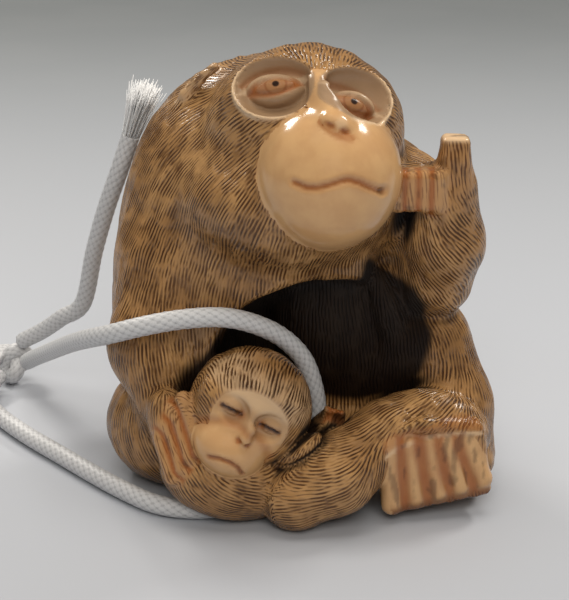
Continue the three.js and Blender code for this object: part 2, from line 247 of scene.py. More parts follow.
def nylon():
    n = Nodes("nylon")
    braid_shade = n.attribute("braid_shade")
    fine = n.noise(9000, 2)
    # Painted shade: dark in the gaps between the braid's strands, pale on their tops.
    tone = n.mix(n.ramp(braid_shade, 0.1, 0.8), (0.28, 0.28, 0.29, 1), (0.62, 0.62, 0.63, 1))
    tone = n.mix(n.ramp(fine, 0.3, 0.7, 0, 0.35), tone, (0.45, 0.45, 0.46, 1))
    bumps = n.bump(fine, 0.35, 0.00006)
    return n.surface(Base_Color=tone, Roughness=0.42, Normal=bumps, Subsurface_Weight=0.15,
                     Subsurface_Radius=(0.0006, 0.0006, 0.0006), Subsurface_Scale=1.0)


def fibres():
    n = Nodes("nylon_fibres")
    tone = n.mix(n.noise(700, 2), (0.86, 0.86, 0.87, 1), (0.95, 0.95, 0.95, 1))
    return n.surface(Base_Color=tone, Roughness=0.35, Subsurface_Weight=0.5,
                     Subsurface_Radius=(0.001, 0.001, 0.001), Subsurface_Scale=1.0)


def finish(piece, material, slot, *nodes):
    piece.data.materials.append(material)
    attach(piece, "root")
    if nodes:
        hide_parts(*nodes)
    return piece


NYLON = nylon()
loop_path = smooth_path(LOOP, CORD_STEP)
loop = finish(rope("cord_loop_braid", loop_path, CORD / 2), NYLON, "cord", "cord_loop")
tail_path = smooth_path(TAIL, CORD_STEP)
tail = finish(rope("cord_tail_braid", tail_path, CORD / 2), NYLON, "cord", "cord_tail")


def knot_path():
    """An overhand knot pulled tight: three lobes that cross over and under each other."""
    t = np.linspace(0, 2 * math.pi, 181)[:-12]
    lobes = np.stack([np.sin(t) + 2 * np.sin(2 * t), np.cos(t) - 2 * np.cos(2 * t), -1.35 * np.sin(3 * t)], 1)
    tilt = math.radians(KNOT_TILT)
    lift = np.array([[1, 0, 0], [0, math.cos(tilt), -math.sin(tilt)], [0, math.sin(tilt), math.cos(tilt)]])
    return KNOT + (lobes * KNOT_SCALE) @ lift.T


tight_rope = rope("cord_knot_braid", knot_path(), CORD * 0.47, narrowing=0.6)
knot = finish(tight_rope, NYLON, "cord", "cord_knot")


def brush():
    """The frayed end: fine fibres that fan out of the cord's last millimetre."""
    end, onward = TAIL[-1], TAIL[-1] - TAIL[-2]
    onward = onward / np.linalg.norm(onward)
    side = np.cross(onward, [0, 1, 0])
    side /= np.linalg.norm(side)
    other = np.cross(onward, side)
    count, steps = (420), 6
    angle = RNG.uniform(0, 2 * math.pi, count)
    root = np.sqrt(RNG.uniform(0, 1, count)) * CORD * 0.45
    spread = root * RNG.uniform(1.2, 2.3, count)
    reach = BRUSH * RNG.uniform(0.7, 1.0, count)
    bend = RNG.uniform(-0.5, 0.5, (count, 2))
    share = np.linspace(0, 1, steps)
    vertices, faces = [], []
    for i in range(count):
        out = side * math.cos(angle[i]) + other * math.sin(angle[i])
        away = root[i] + (spread[i] - root[i]) * share**1.3
        sway = (side * bend[i, 0] + other * bend[i, 1]) * share[:, None] ** 2 * 0.6
        line = end - onward * 0.8 + onward * (share * reach[i])[:, None] + out * away[:, None] + sway
        for k, p in enumerate(line):
            thick = FIBRE * (1 - 0.55 * share[k])
            for corner in range(3):
                turn = corner * 2 * math.pi / 3
                vertices.append(p + (side * math.cos(turn) + other * math.sin(turn)) * thick)
        base = i * steps * 3
        for k in range(steps - 1):
            for corner in range(3):
                a, b = base + k * 3 + corner, base + k * 3 + (corner + 1) % 3
                faces += [(a, b, b + 3), (a, b + 3, a + 3)]
        tip = base + (steps - 1) * 3
        faces += [(base, base + 2, base + 1), (tip, tip + 1, tip + 2)]
    return mesh_object("cord_brush", np.array(vertices), faces)


frayed = finish(brush(), fibres(), "cord")


# ---- Forms: each gives the distance from points to its surface, below zero inside it ----


def turning(turn):
    """A turn about x, then y, then z, in degrees."""
    (cx, sx), (cy, sy), (cz, sz) = ((math.cos(math.radians(a)), math.sin(math.radians(a))) for a in turn)
    about_x = np.array([[1, 0, 0], [0, cx, -sx], [0, sx, cx]])
    about_y = np.array([[cy, 0, sy], [0, 1, 0], [-sy, 0, cy]])
    about_z = np.array([[cz, -sz, 0], [sz, cz, 0], [0, 0, 1]])
    return about_z @ about_y @ about_x


class Form:
    """A distance function, with the box that holds its surface."""

    def __init__(self, distance, low, high):
        self.distance, self.low, self.high = distance, np.array(low, float), np.array(high, float)


def ellipsoid(at, half, turn=(0, 0, 0)):
    middle, half, axes = np.array(at, float), np.array(half, float), turning(turn)

    def distance(p):
        q = ((p - middle) @ axes) / half
        inside = np.sqrt((q * q).sum(-1)) + 1e-9
        q = q / half
        return inside * (inside - 1) / (np.sqrt((q * q).sum(-1)) + 1e-9)

    reach = np.sqrt(((axes * half) ** 2).sum(1))
    return Form(distance, middle - reach, middle + reach)


def taper(start, end, thick_start, thick_end):
    """A round cone: two balls and what joins them."""
    a, b = np.array(start, float), np.array(end, float)
    along = b - a
    square = float(along @ along)
    shrink = thick_start - thick_end
    slant = square - shrink * shrink

    def distance(p):
        q = p - a
        y = q @ along
        z = y - square
        away = q * square - y[..., None] * along
        x2 = (away * away).sum(-1)
        y2, z2 = y * y * square, z * z * square
        k = math.copysign(1, shrink) * shrink * shrink * x2
        d = (np.sqrt(x2 * slant / square) + y * shrink) / square - thick_start
        d = np.where(np.sign(y) * slant * y2 < k, np.sqrt(x2 + y2) / square - thick_start, d)
        return np.where(np.sign(z) * slant * z2 > k, np.sqrt(x2 + z2) / square - thick_end, d)

    low, high = np.minimum(a - thick_start, b - thick_end), np.maximum(a + thick_start, b + thick_end)
    return Form(distance, low, high)


def blended(a, b, width):
    """The two distances as one form, with a fillet of this width where they meet."""
    if width <= 0:
        return np.minimum(a, b)
    near = np.maximum(width - np.abs(a - b), 0) / width
    return np.minimum(a, b) - near * near * width * 0.25


def slab(at, half, rounding, turn=(0, 0, 0)):
    """A box with rounded edges."""
    middle, half, axes = np.array(at, float), np.array(half, float), turning(turn)

    def distance(p):
        q = np.abs((p - middle) @ axes) - (half - rounding)
        return np.linalg.norm(np.maximum(q, 0), axis=-1) + np.minimum(q.max(-1), 0) - rounding

    reach = np.abs(axes) @ half
    return Form(distance, middle - reach, middle + reach)


def limb(path, thick, width=0.3):
    """Round cones from point to point, thick[i] in radius at path[i]."""
    pieces = [taper(*ends) for ends in zip(path, path[1:], thick, thick[1:])]

    def distance(p):
        d = pieces[0].distance(p)
        for piece in pieces[1:]:
            d = blended(d, piece.distance(p), width)
        return d

    return Form(distance, np.min([f.low for f in pieces], 0), np.max([f.high for f in pieces], 0))


def ring(at, wide, high, thick):
    """An oval ring that lies across z."""
    middle = np.array(at, float)

    def distance(p):
        q = p - middle
        inside = np.sqrt((q[..., 0] / wide) ** 2 + (q[..., 1] / high) ** 2) + 1e-6
        slope = np.sqrt((q[..., 0] / wide**2) ** 2 + (q[..., 1] / high**2) ** 2) / inside + 1e-6
        return np.hypot((inside - 1) / slope, q[..., 2]) - thick

    reach = np.array([wide + thick, high + thick, thick])
    return Form(distance, middle - reach, middle + reach)


def placed(form, at, turn):
    """A form given in a frame of its own, as it lies in the model."""
    origin, axes = np.array(at, float), turning(turn)
    corners = np.array([[x, y, z] for x in (form.low[0], form.high[0]) for y in (form.low[1], form.high[1])
                        for z in (form.low[2], form.high[2])]) @ axes.T + origin
    return Form(lambda p: form.distance((p - origin) @ axes), corners.min(0), corners.max(0))


# ---- The carving's forms ----

TRUNK = ellipsoid((-2.5, 3.5, 17), (17.4, 13, 19.5))
BACK = ellipsoid((-3.5, 4.2, 28), (14.5, 11.8, 15.4))
SHOULDER = ellipsoid((9.5, 3.5, 26), (6.3, 8, 8))
CRANIUM = ellipsoid((0.4, -2, 35.8), (9.6, 10, 9.9))
BROW = ellipsoid((0.3, -4.2, 38.6), (9.2, 6.6, 6.9))
RUFF = ellipsoid((-1.2, -3.8, 31.2), (10.6, 9.8, 7.2))
LAP = ellipsoid((2.5, -9.5, 15), (11.2, 10.5, 8.8))  # the hollow between the limbs
ARMPIT = ellipsoid((9, -9.5, 22.5), (3.2, 7.5, 5.5))
CHEST = ellipsoid((3.5, -1, 17), (6.5, 3.2, 8))
BREAST = ellipsoid((9.2, -2.6, 17.5), (2, 2.4, 6.5), (0, -14, 0))
HIP = ellipsoid((-13.2, -0.5, 5.6), (7.3, 9, 6.4))
SHADE = ellipsoid((2, -9.5, 17), (12, 12.5, 10))  # the part of the lap that is painted black as shade

MUZZLE = ellipsoid((2.4, -10, 34.9), (6.9, 7.4, 7))
NOSE_PLACE = {"at": (3.1, -13.7, 40.8), "turn": (0, 22, 0)}
NOSE = ellipsoid(NOSE_PLACE["at"], (1.5, 1, 0.85), NOSE_PLACE["turn"])
NOSE_BRIDGE = limb([(1.3, -9.3, 43.6), (2.7, -12.6, 41.3)], [0.5, 0.75])
# Each socket has a frame: x and y across its opening, z out of it. outer is the side of the temple.
SOCKETS = (
    {"at": (-2.7, -8.6, 43), "turn": (46, 0, -8), "outer": -1,
     "eye": (0, 0.1, -1), "slant": 15, "pupil": (0.1, 0.15)},
    {"at": (4.6, -9, 42), "turn": (50, 0, 22), "outer": 1,
     "eye": (-0.4, -0.5, -1), "slant": -30, "pupil": (0.35, 0.1)},
)
SOCKET_WIDE, SOCKET_HIGH = 3.9, 3.3  # half the size of a socket's opening
ORBIT = ellipsoid((0, 0.2, -2.4), (4.7, 4.2, 3))  # the pad that a socket is sunk in
SOCKET_RIM = ring((0, 0, -0.05), SOCKET_WIDE, SOCKET_HIGH, 0.22)
SOCKET_BOWL = ellipsoid((0, 0, 0.5), (3.8, 3.2, 2.1))
EYEBALL = (2.7, 1.6, 1.3)
EAR = limb([(-12.4, 1.2, 38.2), (-11.6, 0.4, 40.2), (-10.3, 0, 41.8), (-8.6, -0.6, 43.2)], [0.5] * 4, 0.5)

LEFT_THIGH = limb([(2, 2, 7), (13.1, -2.5, 15)], [4, 4], 1)
LEFT_SHIN = limb([(13.5, -2, 15.3), (15.6, -4.5, 9), (16, -6, 4.2)], [3.9, 3.8, 3.9], 1.5)
LEFT_UPPER_ARM = limb([(11, 1.5, 29), (13.2, -2, 21.8)], [4.6, 3.6], 1)
LEFT_FOREARM = limb([(13.7, -3.4, 22.2), (14.2, -4.6, 26.5), (14, -5.6, 31)], [3.4, 3.6, 3.1], 1.5)
FINGER_ROOT = limb([(14.6, -6.2, 33), (14.5, -6.8, 35.6)], [2.2, 1.5])
UPRIGHT_FINGER = slab((14.5, -6.7, 34.4), (1.4, 1.35, 3.5), 0.6, (0, 2, 0))
FIST = slab((11, -7, 32.9), (2.6, 2.2, 2.1), 0.7)
RIGHT_ARM = limb([(-13.4, -0.5, 23), (-15.2, -4.4, 15.5), (-14, -8.8, 10.3)], [5.2, 4, 2.3], 2.5)
RIGHT_HAND = ellipsoid((-12.9, -11, 9.6), (2.3, 2.9, 3.8), (0, -14, 0))

YOUNG_BODY = ellipsoid((-6.3, -10.5, 4.6), (8, 5.8, 5), (0, 6, 10))
YOUNG_HEAD = ellipsoid((-5.2, -11.2, 11.5), (6.1, 5.8, 6.2), (0, 22, 0))
YOUNG_ARM = limb([(-1, -9.6, 5), (2.7, -9.4, 9.3)], [1.8, 1.3], 0.5)
YOUNG_FACE = {"at": (-5.9, -14.5, 10.8), "turn": (0, 29, 0)}  # a frame: x across, y inwards, z up


def on_young_face(*shape):
    return placed(ellipsoid(*shape), YOUNG_FACE["at"], YOUNG_FACE["turn"])


YOUNG_MUZZLE = on_young_face((-0.2, 0.2, -2.1), (3.75, 3.6, 3))
YOUNG_BROW = on_young_face((0.3, 0.7, 4.6), (4.2, 2.2, 1))
YOUNG_SOCKETS = [on_young_face((x, -2.3, 2.1), (1.8, 1.5, 1.4)) for x in (-2.1, 2.1)]
YOUNG_EYES = [on_young_face((x, -0.9, 2.1), (1.2, 0.8, 0.9)) for x in (-2.1, 2.1)]
YOUNG_NOSE = on_young_face((0.3, -2.6, 0.7), (0.7, 0.9, 1.1))
YOUNG_EARS = (
    on_young_face((6, 0.6, 0.5), (0.9, 1.6, 2.7), (0, 28, 0)),
    on_young_face((-4.6, 1.3, 1.2), (0.9, 1.6, 2), (0, -10, 0)),
)

SHIN = limb([(-0.6, -14, 3.5), (3.6, -13.4, 5.4), (8.2, -10.6, 8.8)], [3.6, 3.5, 3.2], 2)
FOOT = ellipsoid((12.4, -9, 8), (6.6, 4.2, 4.3), (0, 4, 0))
INSTEP = limb([(8.6, -12.4, 9.6), (12, -12.7, 10.3), (17, -11.3, 9.3)], [0.8, 0.8, 0.8], 0.5)
TOE_PLACE = {"at": (12.9, -10.9, 5.5), "turn": (0, -9, 9.2)}
TOE_BLOCK = placed(slab((0, 0, 0), (5.4, 2.1, 4), 0.7), TOE_PLACE["at"], TOE_PLACE["turn"])
CORD_HOLE = 2.9  # diameter
HOLE_STEP = 1.5


def digits(count, root, root_step, tip, tip_step, thick):
    """Fingers or toes side by side: each root and tip lies one step on from the one before."""
    root, root_step, tip, tip_step = (np.array(v, float) for v in (root, root_step, tip, tip_step))
    return [limb([root + root_step * i, tip + tip_step * i], thick) for i in range(count)]


CURLED_FINGERS = digits(4, (9.1, -8.35, 34.1), (1.25, 0, 0), (9.1, -8.45, 31.6), (1.25, 0, 0), [0.8, 0.8])
RIGHT_FINGERS = digits(4, (-11.6, -12.6, 13), (-0.75, -0.1, -1.3), (-10.2, -14.3, 8.4), (-0.85, -0.1, -0.95),
                       [0.9, 0.72])
YOUNG_FINGERS = digits(3, (2, -9.6, 9.4), (0.8, 0, 0), (2.5, -10.2, 10.9), (0.7, 0, -0.2), [0.55, 0.45])
TOES = digits(5, (8.5, -13, 8.4), (1.87, 0.35, 0), (8.9, -13, 1.9), (2.25, 0.35, 0.55), [1, 1.1])


def carving_steps():
    """What is added and cut, in turn, each with the width of its fillet."""
    steps = []

    def add(form, width):
        steps.append(("add", form, width))

    def cut(form, width):
        steps.append(("cut", form, width))

    add(TRUNK, 0)
    add(BACK, 4)
    add(SHOULDER, 3)
    add(CRANIUM, 2.5)
    add(BROW, 1.5)
    add(RUFF, 2)
    cut(LAP, 1)
    cut(ARMPIT, 1)
    add(CHEST, 1)
    add(BREAST, 0.6)
    add(LEFT_THIGH, 1)
    add(LEFT_SHIN, 0.8)
    add(LEFT_UPPER_ARM, 1.5)
    add(LEFT_FOREARM, 1)
    add(FINGER_ROOT, 0.8)
    add(UPRIGHT_FINGER, 0.6)
    add(FIST, 0.8)
    for finger in CURLED_FINGERS:
        add(finger, 0.2)
    add(HIP, 1)
    add(RIGHT_ARM, 2.2)
    add(RIGHT_HAND, 0.8)
    for finger in RIGHT_FINGERS:
        add(finger, 0.15)
    add(YOUNG_BODY, 0.3)
    add(YOUNG_HEAD, 0.3)
    add(YOUNG_MUZZLE, 0.5)
    add(YOUNG_BROW, 0.5)
    for socket, eye in zip(YOUNG_SOCKETS, YOUNG_EYES):
        cut(socket, 0.5)
        add(eye, 0.2)
    add(YOUNG_NOSE, 0.4)
    for ear in YOUNG_EARS:
        add(ear, 0.2)
    add(YOUNG_ARM, 0.3)
    for finger in YOUNG_FINGERS:
        add(finger, 0.15)
    add(SHIN, 0.4)
    add(FOOT, 0.8)
    add(INSTEP, 0.3)
    add(TOE_BLOCK, 0.5)
    for toe in TOES:
        add(toe, 0.15)
    for s in SOCKETS:
        add(placed(ORBIT, s["at"], s["turn"]), 1.2)
    add(MUZZLE, 0.9)
    for s in SOCKETS:
        add(placed(SOCKET_RIM, s["at"], s["turn"]), 0.4)
    for s in SOCKETS:
        cut(placed(SOCKET_BOWL, s["at"], s["turn"]), 0.3)
    for s in SOCKETS:
        add(placed(ellipsoid(s["eye"], EYEBALL), s["at"], s["turn"]), 0.3)
    add(NOSE_BRIDGE, 1.8)
    add(NOSE, 0.6)
    add(EAR, 0.6)
    hole = smooth_path(LOOP[HOLE], HOLE_STEP)
    cut(limb(hole, [CORD_HOLE / 2] * len(hole), 0), 0.2)
    return steps


# ---- From forms to a mesh ----

GRID = 0.24
MOST_TRIANGLES = 195000
LOW, HIGH = np.array([-23, -20, -1.5]), np.array([22.5, 19, 48])
MARGIN = 3.5  # how far from its box a form still counts


def distances(steps):
    """The distance to the carving at each grid point, with the underside cut flat."""
    counts = [int(round((b - a) / GRID)) + 1 for a, b in zip(LOW, HIGH)]
    axes = [(a + GRID * np.arange(n)).astype(np.float32) for a, n in zip(LOW, counts)]
    field = np.full(counts, 50, np.float32)
    for kind, form, width in steps:
        low = np.maximum(0, np.floor((form.low - MARGIN - LOW) / GRID).astype(int))
        high = np.minimum(counts, np.ceil((form.high + MARGIN - LOW) / GRID).astype(int) + 1)
        part = tuple(slice(a, b) for a, b in zip(low, high))
        points = np.stack(np.meshgrid(*(axis[s] for axis, s in zip(axes, part)), indexing="ij"), -1)
        own = form.distance(points).astype(np.float32)
        if kind == "add":
            field[part] = blended(field[part], own, width)
        else:
            field[part] = -blended(-field[part], own, width)
    floor = -axes[2][None, None, :]
    return np.maximum(field, floor)


def surface_nets(field):
    """One vertex in each cell that the surface crosses, joined across each grid edge that it crosses."""
    inside = field < 0
    shape = np.array(field.shape)
    corners = [(i, j, k) for i in (0, 1) for j in (0, 1) for k in (0, 1)]
    last = shape - 1
    count = sum(inside[i:last[0] + i, j:last[1] + j, k:last[2] + k].astype(np.int8) for i, j, k in corners)
    active = (count > 0) & (count < 8)
    cells = np.argwhere(active)
    number = np.full(active.shape, -1, np.int64)
    number[active] = np.arange(len(cells))
    value = {c: field[cells[:, 0] + c[0], cells[:, 1] + c[1], cells[:, 2] + c[2]] for c in corners}
    total, crossings = np.zeros((len(cells), 3), np.float32), np.zeros(len(cells), np.float32)
    for corner in corners:
        for axis in range(3):
            if corner[axis]:
                continue
            other = tuple(1 if n == axis else c for n, c in enumerate(corner))
            a, b = value[corner], value[other]
            crossed = (a < 0) != (b < 0)
            share = np.where(crossed, a / np.where(crossed, a - b, 1), 0)
            place = np.tile(np.array(corner, np.float32), (len(cells), 1))
            place[:, axis] += share
            total += place * crossed[:, None]
            crossings += crossed
    vertices = (total / crossings[:, None] + cells) * GRID + LOW
    quads = []
    for axis, (u, w) in enumerate([(1, 2), (2, 0), (0, 1)]):
        near, far = [slice(None)] * 3, [slice(None)] * 3
        near[axis], far[axis] = slice(0, -1), slice(1, None)
        edges = np.argwhere(inside[tuple(near)] != inside[tuple(far)])
        quad = []
        for step_u, step_w in ((-1, -1), (0, -1), (0, 0), (-1, 0)):
            cell = edges.copy()
            cell[:, u] += step_u
            cell[:, w] += step_w
            quad.append(number[cell[:, 0], cell[:, 1], cell[:, 2]])
        quad = np.stack(quad, 1)
        outward = inside[edges[:, 0], edges[:, 1], edges[:, 2]]
        quad[~outward] = quad[~outward][:, ::-1]
        quads.append(quad)
    return vertices, np.concatenate(quads)


def sampled(field, points):
    """The field between its grid points."""
    place = np.clip((points - LOW) / GRID, 0, np.array(field.shape) - 1.001)
    cell = place.astype(int)
    share = place - cell
    total = np.zeros(len(points))
    for i in (0, 1):
        for j in (0, 1):
            for k in (0, 1):
                weight = np.where((i, j, k), share, 1 - share).prod(1)
                total += weight * field[cell[:, 0] + i, cell[:, 1] + j, cell[:, 2] + k]
    return total


def facing(field, points, step=0.3):
    """The outward direction of the surface at each point."""
    sides = np.eye(3) * step
    slope = np.stack([sampled(field, points + d) - sampled(field, points - d) for d in sides], 1)
    return slope / (np.linalg.norm(slope, axis=1)[:, None] + 1e-9)


# ---- Carved relief and stain ----


def smoothstep(low, high, x):
    t = np.clip((x - low) / (high - low), 0, 1)
    return t * t * (3 - 2 * t)


def fade(low, high, x):
    """Full up to low, gone from high on."""
    return 1 - smoothstep(low, high, x)


def local(p, place):
    """Points in the frame of a place."""
    return (p - np.array(place["at"])) @ turning(place["turn"])


def line_distance(points, line):
    """Distance in a plane from points to a line of points."""
    line = np.asarray(line, float)
    best = np.full(len(points), 1e9)
    for a, b in zip(line, line[1:]):
        along = b - a
        share = np.clip(((points - a) @ along) / (along @ along), 0, 1)
        best = np.minimum(best, np.linalg.norm(points - a - share[:, None] * along, axis=1))
    return best


def hashed(cell):
    """An even random value from 0 to 1 for each whole-numbered cell."""
    n = cell[..., 0] * 374761393 + cell[..., 1] * 668265263 + cell[..., 2] * 1274126177
    n = (n ^ (n >> 13)) * 1103515245
    return ((n ^ (n >> 16)) & 0xFFFFF) / float(0xFFFFF)


def value_noise(points, size):
    """Smooth noise from 0 to 1, in cells of this size."""
    place = points / size + 100
    cell = np.floor(place).astype(np.int64)
    share = place - cell
    share = share * share * (3 - 2 * share)
    total = np.zeros(len(points))
    for i in (0, 1):
        for j in (0, 1):
            for k in (0, 1):
                weight = np.where((i, j, k), share, 1 - share).prod(1)
                total += weight * hashed(cell + np.array([i, j, k]))
    return total


HANG = [0.0, 0.02, -0.05]  # the way the hair hangs where no guide is near
# How the hair lies: a place, the way the hair grows there, and how far around it that counts.
HAIR = [
    ((-3, -6, 46), (-0.25, 0.5, 0.8), 3), ((4, -5, 46), (0.2, 0.5, 0.8), 3),
    ((9, -5, 42), (0.8, 0.4, 0.1), 3), ((10, -5, 37), (0.75, 0.3, -0.6), 4),
    ((-9, -5, 43), (-0.8, 0.3, 0.1), 3), ((-9, -7, 39), (-0.8, 0.3, -0.45), 4),
    ((-8, -9, 34), (-0.62, 0.2, -0.7), 4), ((-6, -11, 29), (-0.4, 0, -0.9), 4),
    ((2, -12, 27), (0, 0.1, -1), 4), ((9, -9, 29), (0.25, 0.1, -0.95), 3),
    ((-13, -4, 35), (-0.6, 0.2, -0.8), 4), ((-15, -3, 29), (-0.4, 0.1, -0.92), 5),
    ((-17, -3, 22), (-0.1, 0, -1), 5), ((-17, -5, 15), (0.1, -0.1, -1), 4),
    ((-14, -9, 11), (0.35, -0.3, -0.88), 3), ((-15, -5, 5), (0.45, -0.3, -0.8), 5),
    ((0, 8, 45), (0, 0.9, 0.1), 8), ((0, 16, 32), (0, 0.4, -0.9), 12), ((0, 17, 14), (0, 0, -1), 14),
    ((-20, 5, 20), (0, 0.1, -1), 9), ((16, 8, 26), (0.4, 0.3, -0.85), 8),
    ((17, 6, 12), (0.2, -0.2, -0.95), 8), ((14, -7, 25), (0.8, 0, -0.45), 3),
    ((17, -4, 29), (0.8, 0.2, -0.35), 3), ((14, -6, 21), (0.7, 0, -0.6), 3),
    ((10, -5, 26), (0.3, -0.1, -0.95), 2.5), ((16, -6, 15), (0.2, -0.2, -0.95), 4),
    ((18, -8, 8), (-0.1, -0.3, -0.9), 4), ((13, -10, 11), (-0.85, -0.45, 0.1), 3),
    ((9, -12, 9), (-0.7, -0.2, -0.6), 3), ((5, -15, 6), (-0.9, 0, -0.35), 3.5),
    ((0, -16, 3), (-1, 0, -0.05), 3.5), ((-5, -15, 16.5), (0.1, 0.4, 0.9), 3),
    ((0, -14, 14), (0.6, 0.3, 0.6), 3), ((-10, -13, 14), (-0.6, 0.3, 0.6), 2.5),
    ((-11, -14, 5), (0.5, -0.1, -0.8), 3), ((-6, -15, 3), (1, 0, -0.1), 3),
    ((-1, -13, 7), (0.7, 0, 0.7), 3), ((9, -14.5, 5), (0.6, 0, -4), 2.2),
    ((13, -14, 5), (0.6, 0, -4), 2.2), ((17, -12, 5), (0.6, 0, -4), 2),
    ((10.5, -9.5, 33), (0, 0, -4), 1.8), ((14.5, -8, 36), (0, 0, -3), 2),
]


def hair_direction(p, normal):
    """The way the hair lies at each point, along the surface."""
    flow = np.tile(HANG, (len(p), 1))
    for place, way, reach in HAIR:
        weight = np.exp(-((p - np.array(place)) ** 2).sum(1) / (2 * reach**2))
        flow += weight[:, None] * np.array(way)
    flow -= normal * (flow * normal).sum(1)[:, None]
    return flow / (np.linalg.norm(flow, axis=1)[:, None] + 1e-9)


def streaks(p, way, size, length):
    """Noise drawn out along the hair, from about 0 to 1."""
    count = int(length / size * 2) + 1
    total = sum(value_noise(p + way * s, size) for s in np.linspace(-length / 2, length / 2, count)) / count
    return np.clip((total - 0.5) * 3.2 + 0.5, 0, 1)


# The mouth lines, across and up
MOUTH = [(-0.9, 36), (0.2, 35.7), (1.2, 35.75), (2.2, 36), (3.1, 36.3), (4, 36.45), (5, 36.1), (6, 35.5),
         (7.3, 34.8)]
MOUTH_CORNER = (7.2, 34.9)
YOUNG_MOUTH = [(-2.1, -3.1), (-1.1, -2.5), (0, -2.3), (1, -2.5), (1.9, -3.2)]
LINE_DEPTH = 0.22  # of a mouth line or the edge of a lid
SLIT_DEPTH = 0.25  # of the young's closed eyes and the mother's nostrils
PIT_DEPTH = 0.2
# The marks on the surface: skin is bare ivory; eye, orange and dark are stains; socket is painted shade; pale
# is wear and painted highlights.
STAINS_AND_PAINTED_LIGHT = ("skin", "socket", "eye", "pale", "orange", "dark")


class Work:
    """The relief and the stains that the carver gave each point of the surface, with the shade and highlights
    that are painted on some of it.
    """

    def __init__(self, count):
        self.relief = np.zeros(count)
        self.stain_and_painted_light = {name: np.zeros(count) for name in STAINS_AND_PAINTED_LIGHT}

    def lay(self, name, amount):
        """Raise a mark (a stain, painted shade or a painted highlight) to at least this amount."""
        self.stain_and_painted_light[name] = np.maximum(self.stain_and_painted_light[name], amount)


def muzzle_work(p, work):
    """The bare muzzle, its mouth and the nose."""
    front = p[:, 1] < -6
    ragged = 0.25 * (value_noise(p * [3, 1, 0.8], 1) - 0.5)
    muzzle = fade(0.12, 0.28, np.abs(MUZZLE.distance(p)) + ragged)
    work.lay("skin", muzzle * front)
    work.lay("skin", fade(0.15, 0.4, np.abs(NOSE.distance(p))))
    work.lay("skin", fade(1.1, 1.5, np.abs(NOSE_BRIDGE.distance(p))))
    d = line_distance(p[:, [0, 2]], MOUTH)
    lips = (p[:, 1] < -13) * (np.abs(p[:, 2] - 36) < 3)
    work.relief -= lips * LINE_DEPTH * fade(0.05, 0.4, d)
    work.relief += lips * 0.06 * fade(0.3, 1.3, d) * smoothstep(0.2, 0.6, d)
    work.lay("orange", lips * 0.95 * fade(0.1, 0.42, d))
    work.lay("orange", lips * 0.3 * fade(0.2, 0.9, d))
    corner = np.hypot(p[:, 0] - MOUTH_CORNER[0], p[:, 2] - MOUTH_CORNER[1])
    work.relief -= lips * PIT_DEPTH * fade(0.2, 0.7, corner)
    work.lay("dark", lips * 0.6 * fade(0.1, 0.45, corner))
    q = local(p, NOSE_PLACE)
    around = (np.linalg.norm(q, axis=1) < 3) * 1.0
    for side in (-1, 1):
        hole = np.hypot((q[:, 0] - side * 0.75) * 0.8, (q[:, 2] + 0.25) * 1.4)
        work.relief -= around * SLIT_DEPTH * fade(0.1, 0.42, hole)
        work.lay("orange", around * fade(0.2, 0.65, hole))
    under = np.abs(q[:, 2] + 0.75 - 0.1 * q[:, 0] ** 2)
    work.lay("orange", around * (np.abs(q[:, 0]) < 1.8) * 0.7 * fade(0.1, 0.4, under))
    # Painted highlight on the nose tip.
    tip = np.hypot(q[:, 0] - 0.2, q[:, 2] - 0.3)
    work.lay("pale", around * 0.5 * fade(0.2, 0.8, tip))


def eye_work(p, work):
    """Sockets, lids and the stained almonds of the mother's eyes."""
    for s in SOCKETS:
        q = local(p, s)
        inside = np.hypot(q[:, 0] / SOCKET_WIDE, q[:, 1] / SOCKET_HIGH)
        near = np.abs(q[:, 2]) < 3
        bowl = fade(0.97, 1.03, inside) * near
        # The bowl of the socket is painted shade, greyish brown.
        work.lay("socket", bowl)
        # The lower, outer rim: a painted highlight, pale and bare.
        way = (s["outer"] * q[:, 0] - q[:, 1]) / (np.hypot(q[:, 0], q[:, 1]) + 1e-6)
        edge = fade(0.02, 0.09, np.abs(inside - 1.02)) * near
        work.lay("pale", edge * smoothstep(-0.2, 0.9, way))
        work.lay("skin", edge * smoothstep(-0.6, 0.4, way))
        slant = math.radians(s["slant"])
        x, y = q[:, 0] - s["eye"][0], q[:, 1] - s["eye"][1]
        x, y = x * math.cos(slant) + y * math.sin(slant), y * math.cos(slant) - x * math.sin(slant)
        almond = np.maximum(np.hypot(x, y + 2.6) - 3.5, np.hypot(x, y - 2.9) - 3.7)
        work.lay("eye", bowl * fade(-0.1, 0.1, almond))
        lid = np.abs(almond)
        work.relief -= bowl * LINE_DEPTH * fade(0.05, 0.3, lid)
        work.relief += bowl * 0.16 * fade(0.15, 0.5, np.abs(almond - 0.5))
        work.lay("pale", bowl * 0.35 * (y > 0) * fade(0.1, 0.5, np.abs(almond - 0.6)))
        fold = np.abs(np.hypot(x + 0.1, y + 1.7) - 3.9)
        above = bowl * (y > 0.9)
        work.relief -= above * 0.12 * fade(0.05, 0.3, fold)
        work.lay("orange", above * 0.45 * fade(0.1, 0.6, fold))
        work.lay("orange", bowl * 0.6 * fade(-0.1, 0.25, almond))
        work.lay("orange", bowl * smoothstep(1.1, 2.0, np.abs(x)) * fade(0.0, 0.5, almond))
        work.lay("orange", bowl * 0.85 * (y < 0.3) * fade(0.1, 0.35, lid))


